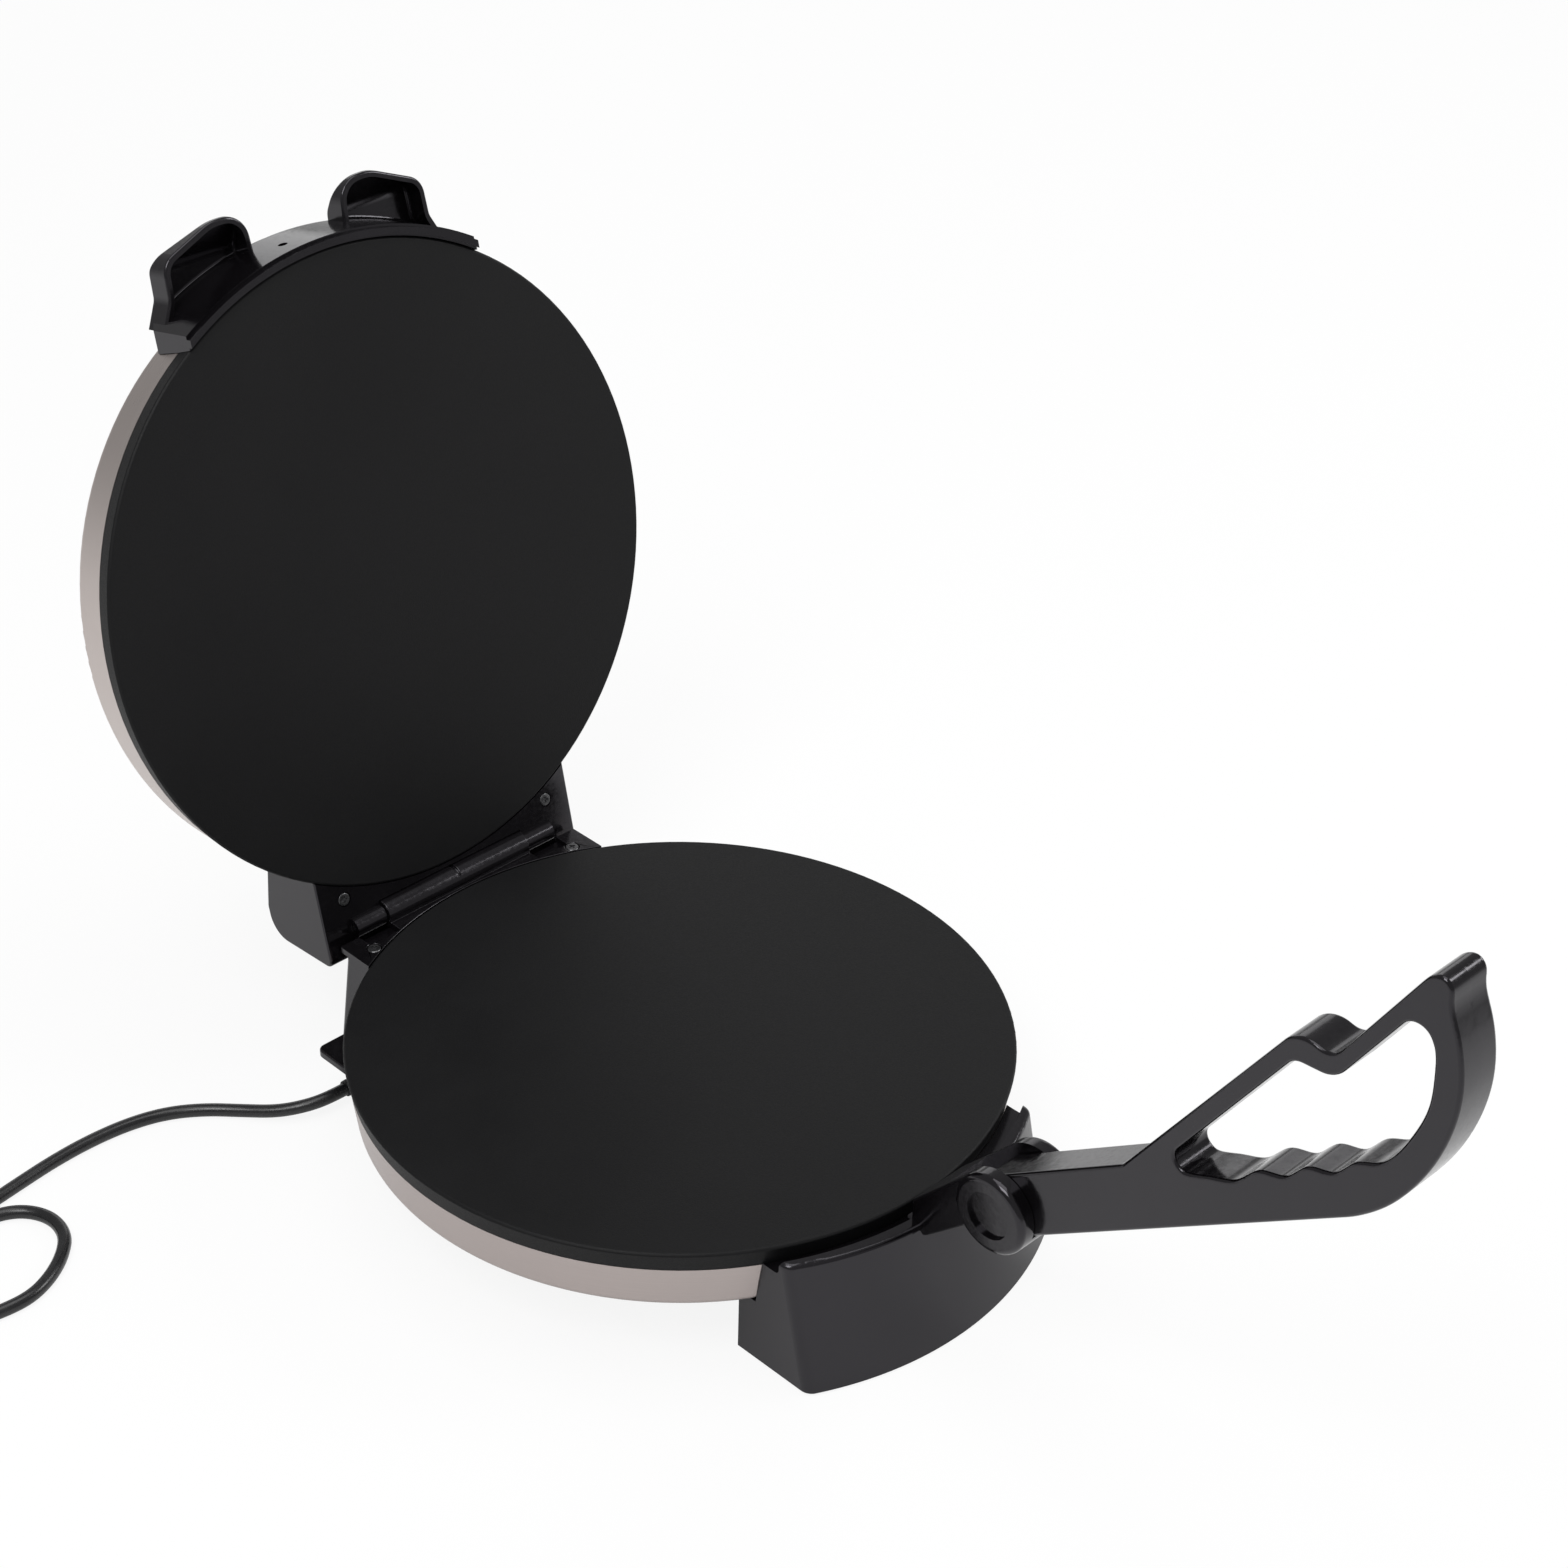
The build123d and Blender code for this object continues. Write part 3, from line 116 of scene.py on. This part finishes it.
def streaked(tree, coordinates, cells, turn):
    """Noise with its own scale along each axis, turned about X."""
    turned = node(tree, "ShaderNodeMapping", vector_type="TEXTURE")
    turned.inputs["Rotation"].default_value = (turn, 0, 0)
    turned.inputs["Scale"].default_value = [1 / count for count in cells]
    tree.links.new(coordinates, turned.inputs["Vector"])
    return grain(tree, turned.outputs["Vector"], 1.0, STREAK_DETAIL, STREAK_ROUGHNESS)


def spread(tree, source, low_value, high_value):
    """The middle stretch of a noise, mapped to a range of values."""
    made = node(tree, "ShaderNodeMapRange", From_Min=NOISE_LOW, From_Max=NOISE_HIGH)
    made.inputs["To Min"].default_value = low_value
    made.inputs["To Max"].default_value = high_value
    tree.links.new(source, made.inputs["Value"])
    return made.outputs["Result"]


def tones(tree, source, dark, light):
    """The middle stretch of a noise, mapped from a dark tone to a light one."""
    ramp = tree.nodes.new("ShaderNodeValToRGB")
    first, last = ramp.color_ramp.elements
    first.position = NOISE_LOW
    first.color = (*dark, 1)
    last.position = NOISE_HIGH
    last.color = (*light, 1)
    tree.links.new(source, ramp.inputs["Fac"])
    return ramp.outputs["Color"]


def finish_of(
    name,
    dark,
    light,
    rough,
    metal=0.0,
    patches=18.0,
    skin=900.0,
    skin_depth=0.00004,
    streaks=None,
    turn=0.0,
    shine=0.5,
    tint=(1, 1, 1),
):
    """A surface with two close tones, uneven gloss and a fine skin or fine streaks."""
    made = bpy.data.materials.new(name)
    made.use_nodes = True
    tree = made.node_tree
    shader = tree.nodes["Principled BSDF"]
    shader.inputs["Metallic"].default_value = metal
    shader.inputs["Specular IOR Level"].default_value = shine
    shader.inputs["Specular Tint"].default_value = (*tint, 1)
    coordinates = tree.nodes.new("ShaderNodeTexCoord").outputs["Object"]
    wide = grain(tree, coordinates, patches, PATCH_DETAIL)
    if streaks:
        fine = streaked(tree, coordinates, streaks, turn)
        colour = tones(tree, fine, dark, light)
    else:
        fine = grain(tree, coordinates, skin)
        colour = tones(tree, wide, dark, light)
    tree.links.new(colour, shader.inputs["Base Color"])
    gloss = node(tree, "ShaderNodeMath", operation="ADD")
    tree.links.new(spread(tree, fine, -GLOSS_GRAIN, GLOSS_GRAIN), gloss.inputs[0])
    tree.links.new(spread(tree, wide, *rough), gloss.inputs[1])
    tree.links.new(gloss.outputs["Value"], shader.inputs["Roughness"])
    bump = node(tree, "ShaderNodeBump", Strength=BUMP_STRENGTH, Distance=skin_depth)
    tree.links.new(fine, bump.inputs["Height"])
    tree.links.new(bump.outputs["Normal"], shader.inputs["Normal"])
    return made


# Black parts

black_gloss = finish_of(
    "black_gloss",
    dark=(0.002, 0.0017, 0.0021),
    light=(0.0042, 0.0037, 0.0045),
    rough=(0.12, 0.2),
    skin=500.0,
    skin_depth=0.00002,
    tint=(0.95, 0.92, 1.0),
)
nonstick = finish_of(
    "nonstick",
    dark=(0.0045, 0.0045, 0.005),
    light=(0.0065, 0.0065, 0.007),
    rough=(0.5, 0.58),
    patches=9.0,
    skin=1500.0,
    skin_depth=0.00012,
    shine=0.18,
)
soft_rubber = finish_of(
    "soft_rubber",
    dark=(0.014, 0.014, 0.014),
    light=(0.024, 0.024, 0.024),
    rough=(0.6, 0.78),
    patches=60.0,
    skin=1600.0,
    skin_depth=0.0001,
)
cord_jacket = finish_of(
    "cord_jacket",
    dark=(0.008, 0.008, 0.009),
    light=(0.013, 0.013, 0.014),
    rough=(0.24, 0.34),
    patches=50.0,
    skin=1100.0,
)
plug_body = finish_of(
    "plug_body",
    dark=(0.012, 0.012, 0.013),
    light=(0.02, 0.02, 0.021),
    rough=(0.4, 0.52),
    patches=90.0,
    skin=1700.0,
    skin_depth=0.00009,
)

# Steel bands, brushed along the rim. The lid's streaks are turned with the lid. Both bands are
# one steel: the lid's band has a lighter colour as painted light, and the base's band a darker
# one as painted shade

RIM_STREAKS = (14.0, 14.0, 2600.0)
RIM_STREAK_DEPTH = 0.000015

# Painted shade: the base's band is coloured darker than the same steel on the lid
base_band_painted_shade = finish_of(
    "base_band_painted_shade",
    dark=(0.435, 0.384, 0.369),
    light=(0.465, 0.411, 0.395),
    rough=(0.32, 0.36),
    metal=1.0,
    streaks=RIM_STREAKS,
    skin_depth=RIM_STREAK_DEPTH,
)
# Painted light: the lid's band is coloured lighter than the same steel on the base
lid_band_painted_light = finish_of(
    "lid_band_painted_light",
    dark=(0.535, 0.477, 0.453),
    light=(0.57, 0.508, 0.483),
    rough=(0.32, 0.36),
    metal=1.0,
    streaks=RIM_STREAKS,
    turn=LID_OPEN,
    skin_depth=RIM_STREAK_DEPTH,
)

# Other metal and the insulator

plated_sheet = finish_of(
    "plated_sheet",
    dark=(0.5, 0.5, 0.47),
    light=(0.62, 0.62, 0.6),
    rough=(0.28, 0.42),
    metal=1.0,
    patches=60.0,
    skin=1800.0,
)
element_tube = finish_of(
    "element_tube",
    dark=(0.2, 0.19, 0.18),
    light=(0.33, 0.31, 0.29),
    rough=(0.4, 0.6),
    metal=1.0,
    patches=45.0,
    skin=1400.0,
)
dark_screw = finish_of(
    "dark_screw",
    dark=(0.09, 0.09, 0.094),
    light=(0.16, 0.16, 0.165),
    rough=(0.2, 0.32),
    metal=0.9,
    patches=300.0,
    skin=2600.0,
)
ground_pin = finish_of(
    "ground_pin",
    dark=(0.5, 0.5, 0.5),
    light=(0.64, 0.64, 0.63),
    rough=(0.2, 0.3),
    metal=1.0,
    patches=90.0,
    streaks=(3000.0, 40.0, 40.0),
)
brass = finish_of(
    "brass",
    dark=(0.62, 0.45, 0.18),
    light=(0.74, 0.57, 0.27),
    rough=(0.2, 0.36),
    metal=1.0,
    patches=150.0,
    skin=2000.0,
)
fired_clay = finish_of(
    "fired_clay",
    dark=(0.66, 0.63, 0.56),
    light=(0.8, 0.77, 0.7),
    rough=(0.55, 0.75),
    patches=120.0,
    skin=2200.0,
    skin_depth=0.0001,
)

finishes = {
    "black_gloss": black_gloss,
    "nonstick": nonstick,
    "band_steel": base_band_painted_shade,
    "plated_sheet": plated_sheet,
    "element_steel": element_tube,
    "dark_steel": dark_screw,
    "pin_steel": ground_pin,
    "brass_part": brass,
    "pale_insulator": fired_clay,
    "black_rubber": soft_rubber,
    "cord_jacket": cord_jacket,
    "plug_plastic": plug_body,
}


def dress(piece, finish):
    """Gives a piece one finish, in place of what it has."""
    piece.data.materials.clear()
    piece.data.materials.append(finish)


for name, piece in frame["nodes"].items():
    dress(piece, finishes[slot_of_node[name]])
# The lid's cover takes the lid band's colour, painted light included
dress(frame["nodes"]["upper_casing"], lid_band_painted_light)


# Camera, at the photograph's viewing angle

CAMERA_AZIMUTH = radians(-45.857)
CAMERA_ELEVATION = radians(33.188)
CAMERA_ROLL = radians(1.714)
CAMERA_LENS = 72.48
CAMERA_SENSOR = 36
CAMERA_NEAR = 0.05
CAMERA_FAR = 60
# Its place from the plate's middle, in shares of the plate's radius
CAMERA_BACK_SHARE = 9.398
CAMERA_RIGHT_SHARE = 0.306
CAMERA_UP_SHARE = 0.731


def studio_camera():
    level_share = cos(CAMERA_ELEVATION)
    back = Vector((
        sin(CAMERA_AZIMUTH) * level_share,
        -cos(CAMERA_AZIMUTH) * level_share,
        sin(CAMERA_ELEVATION),
    ))
    level = Vector((cos(CAMERA_AZIMUTH), sin(CAMERA_AZIMUTH), 0))
    upright = back.cross(level)
    right = cos(CAMERA_ROLL) * level + sin(CAMERA_ROLL) * upright
    up = cos(CAMERA_ROLL) * upright - sin(CAMERA_ROLL) * level
    from_plate = CAMERA_BACK_SHARE * back + CAMERA_RIGHT_SHARE * right + CAMERA_UP_SHARE * up
    data = bpy.data.cameras.new("studio_camera")
    data.lens = CAMERA_LENS
    data.sensor_width = CAMERA_SENSOR
    data.sensor_height = CAMERA_SENSOR
    data.clip_start = CAMERA_NEAR
    data.clip_end = CAMERA_FAR
    eye = place(data, "studio_camera")
    turned = Matrix((right, up, back)).transposed().to_4x4()
    eye.matrix_world = Matrix.Translation(PLATE + PLATE_RADIUS * MM * from_plate) @ turned
    bpy.context.scene.camera = eye


studio_camera()


# Power cord, from the strain relief to the plug

CORD_DIAMETER = 6.2
CORD_CURVE_ORDER = 3
CORD_CURVE_STEPS = 8
CORD_ROUND_STEPS = 6
COIL_RADIUS = 35.0
COIL_PITCH = 7.8
COIL_STEP = 7.3
COIL_POINTS = 16
COIL_LOW_TURNS = 1
COIL_CLIMB_TURNS = 0.5
COIL_HIGH_TURNS = 1

# In millimetres from the plate's middle, down to the table. The last point of the way out
# is where the coil starts, and the first point of the way back is where it ends
cord_way_out = [
    (-96.0, 127.0, 9.0),
    (-106.0, 127.0, 9.0),
    (-116.5, 131.0, 7.6),
    (-127.0, 139.8, 5.0),
    (-137.2, 153.0, 3.4),
    (-148.8, 165.6, 3.1),
    (-163.5, 175.6, 3.1),
    (-181.0, 181.0, 3.1),
    (-201.0, 182.9, 3.1),
    (-221.0, 182.2, 3.1),
    (-240.0, 179.8, 3.1),
    (-259.0, 177.1, 3.1),
    (-279.0, 175.9, 3.1),
    (-300.0, 177.4, 3.1),
    (-321.0, 181.4, 3.1),
    (-342.0, 185.8, 3.1),
    (-365.0, 188.6, 3.1),
    (-391.0, 189.0, 3.1),
    (-417.0, 189.0, 3.1),
]
cord_way_back = [
    (-417.0, 111.2, 10.4),
    (-405.0, 111.2, 10.4),
    (-391.0, 111.4, 8.9),
    (-376.0, 112.0, 5.6),
    (-360.0, 113.6, 3.6),
    (-343.0, 116.0, 3.1),
    (-326.0, 118.4, 3.1),
    (-309.0, 117.8, 3.1),
    (-294.0, 113.6, 3.1),
    (-279.5, 112.6, 3.1),
    (-266.5, 117.4, 3.1),
    (-254.6, 125.6, 3.1),
    (-245.4, 136.4, 3.1),
    (-243.5, 150.8, 3.1),
    (-250.5, 163.5, 3.1),
    (-263.6, 169.6, 3.1),
    (-276.8, 167.2, 3.4),
    (-289.0, 164.2, 5.4),
    (-301.5, 162.0, 8.5),
    (-313.5, 162.0, 8.5),
]


def coil_points():
    """Two and a half turns: spiral in on the table, climb a layer and spiral out again."""
    outer = COIL_RADIUS + COIL_PITCH / 2
    inner = COIL_RADIUS - COIL_PITCH / 2
    start_x, start_y, start_z = cord_way_out[-1]
    middle_x = start_x - CORD_DIAMETER
    middle_y = start_y - outer
    climb_end = COIL_LOW_TURNS + COIL_CLIMB_TURNS
    all_turns = climb_end + COIL_HIGH_TURNS
    # The curve runs inside its points, so they lie a little further out
    fuller = 1 / cos(radians(180 / COIL_POINTS)) ** 0.5
    points = []
    for i in range(int(all_turns * COIL_POINTS) + 1):
        turns = i / COIL_POINTS
        if turns < COIL_LOW_TURNS:
            radius = outer - COIL_PITCH * turns
            climb = 0
        elif turns < climb_end:
            radius = inner
            climb = (turns - COIL_LOW_TURNS) / COIL_CLIMB_TURNS
        else:
            radius = inner + COIL_PITCH * (turns - climb_end)
            climb = 1
        angle = radians(90 + 360 * turns)
        reach = radius * fuller
        # The climb sets off and arrives level
        rise = climb * climb * (3 - 2 * climb) * COIL_STEP
        points.append((
            middle_x + reach * cos(angle),
            middle_y + reach * sin(angle),
            start_z + rise,
        ))
    return points


def lay_cord():
    """One smooth line that stands for all three nodes of the cord."""
    route = cord_way_out[:-1] + coil_points() + cord_way_back[1:]
    line = bpy.data.curves.new("power_cord", "CURVE")
    line.dimensions = "3D"
    spline = line.splines.new("NURBS")
    spline.points.add(len(route) - 1)
    for spot, point in zip(spline.points, route):
        spot.co = (*(TABLE + Vector(point) * MM), 1)
    spline.order_u = CORD_CURVE_ORDER
    spline.use_endpoint_u = True
    spline.resolution_u = CORD_CURVE_STEPS
    line.bevel_depth = CORD_DIAMETER / 2 * MM
    line.bevel_resolution = CORD_ROUND_STEPS
    line.use_fill_caps = True
    piece = place(line, "power_cord_line")
    dress(piece, cord_jacket)
    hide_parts("power_cord", "cord_coil", "cord_tail")
    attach(piece, "base")
    return piece


cord_piece = lay_cord()


# Hinge deck, with its edges broken

DECK_EDGE = 0.4
DECK_EDGE_STEPS = 3
SHARP_ANGLE = radians(32)
WELD_DISTANCE = 0.000002


def rounded(name, width):
    """A copy of a CAD node with its edges broken, which stands for the node."""
    source = frame["nodes"][name]
    piece = source.copy()
    piece.data = source.data.copy()
    piece.name = name + "_moulded"
    piece.parent = None
    piece.matrix_world = Matrix.Identity(4)
    bpy.context.collection.objects.link(piece)
    take(piece)
    bpy.ops.object.mode_set(mode="EDIT")
    bpy.ops.mesh.select_all(action="SELECT")
    bpy.ops.mesh.remove_doubles(threshold=WELD_DISTANCE)
    bpy.ops.mesh.select_all(action="DESELECT")
    bpy.context.tool_settings.mesh_select_mode = (False, True, False)
    bpy.ops.mesh.edges_select_sharp(sharpness=SHARP_ANGLE)
    bpy.ops.object.mode_set(mode="OBJECT")
    mesh = piece.data
    weights = mesh.attributes.new("bevel_weight_edge", "FLOAT", "EDGE")
    weights.data.foreach_set("value", [float(edge.select) for edge in mesh.edges])
    bevel = piece.modifiers.new("edges", "BEVEL")
    bevel.width = width * MM
    bevel.segments = DECK_EDGE_STEPS
    bevel.limit_method = "WEIGHT"
    bevel.use_clamp_overlap = False
    bevel.miter_outer = "MITER_ARC"
    bpy.ops.object.modifier_apply(modifier="edges")
    bpy.ops.object.shade_smooth_by_angle(angle=SHARP_ANGLE)
    piece.modifiers.new("flats", "WEIGHTED_NORMAL").keep_sharp = True
    bpy.ops.object.modifier_apply(modifier="flats")
    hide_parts(name)
    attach(piece, body_of_node[name])


rounded("hinge_deck", DECK_EDGE)


# Floor, surroundings and lamps

FLOOR_SIZE = 30
PAPER_WHITE = (0.9, 0.9, 0.9, 1)
WHITE = (1, 1, 1, 1)
FLOOR_GLOW = 0.88
MIRRORED_GLOW_SHARE = 0.25
SURROUNDING_LIGHT = 0.36
SHOWN_LIGHT = 1.0

# Each lamp's place, width and height in metres, and its power in watts
lamps = {
    "key_lamp": ((-1.2, -0.3, 1.9), 1.0, 1.0, 22),
    "top_lamp": ((0.1, 0.1, 2.4), 1.6, 1.6, 17),
    "rear_lamp": ((1.35, 1.45, 0.72), 2.4, 0.7, 4.8),
    "side_lamp": ((1.6, -0.8, 1.2), 0.8, 0.8, 13),
}


def scaled_by(tree, source, share):
    """A factor of a material, times a share."""
    made = node(tree, "ShaderNodeMath", operation="MULTIPLY")
    made.inputs[1].default_value = share
    tree.links.new(source, made.inputs[0])
    return made.outputs["Value"]


def floor_paper():
    """White paper that takes shadows, and looks lit from below to the camera and to gloss."""
    paper = bpy.data.materials.new("floor_paper")
    paper.use_nodes = True
    tree = paper.node_tree
    tree.nodes.clear()
    out = tree.nodes.new("ShaderNodeOutputMaterial")
    matt = node(tree, "ShaderNodeBsdfDiffuse", Color=PAPER_WHITE)
    glow = node(tree, "ShaderNodeEmission", Color=WHITE, Strength=SHOWN_LIGHT)
    path = tree.nodes.new("ShaderNodeLightPath")
    seen = node(tree, "ShaderNodeMath", operation="MAXIMUM")
    tree.links.new(path.outputs["Is Camera Ray"], seen.inputs[0])
    mirrored = scaled_by(tree, path.outputs["Is Glossy Ray"], MIRRORED_GLOW_SHARE)
    tree.links.new(mirrored, seen.inputs[1])
    mix = tree.nodes.new("ShaderNodeMixShader")
    tree.links.new(scaled_by(tree, seen.outputs["Value"], FLOOR_GLOW), mix.inputs["Fac"])
    tree.links.new(matt.outputs[0], mix.inputs[1])
    tree.links.new(glow.outputs[0], mix.inputs[2])
    tree.links.new(mix.outputs[0], out.inputs["Surface"])
    return paper


def lay_floor():
    bpy.ops.mesh.primitive_plane_add(size=FLOOR_SIZE, location=(0, 0, 0))
    floor = bpy.context.object
    floor.name = "floor"
    dress(floor, floor_paper())


def light_surroundings():
    """A white world to the camera, and a plain dim one to everything else."""
    world = bpy.data.worlds.new("studio")
    bpy.context.scene.world = world
    world.use_nodes = True
    tree = world.node_tree
    tree.nodes.clear()
    out = tree.nodes.new("ShaderNodeOutputWorld")
    lit = node(tree, "ShaderNodeBackground", Color=WHITE, Strength=SURROUNDING_LIGHT)
    shown = node(tree, "ShaderNodeBackground", Color=WHITE, Strength=SHOWN_LIGHT)
    path = tree.nodes.new("ShaderNodeLightPath")
    mix = tree.nodes.new("ShaderNodeMixShader")
    tree.links.new(path.outputs["Is Camera Ray"], mix.inputs["Fac"])
    tree.links.new(lit.outputs[0], mix.inputs[1])
    tree.links.new(shown.outputs[0], mix.inputs[2])
    tree.links.new(mix.outputs[0], out.inputs["Surface"])


def hang_lamp(name, spot, width, height, power):
    """A soft box that looks at the plate's middle."""
    data = bpy.data.lights.new(name, "AREA")
    data.shape = "RECTANGLE"
    data.size = width
    data.size_y = height
    data.energy = power
    lamp = place(data, name)
    lamp.location = spot
    lamp.rotation_euler = (PLATE - Vector(spot)).to_track_quat("-Z", "Y").to_euler()


lay_floor()
light_surroundings()
for name, settings in lamps.items():
    hang_lamp(name, *settings)
bpy.context.scene.view_settings.view_transform = "Standard"
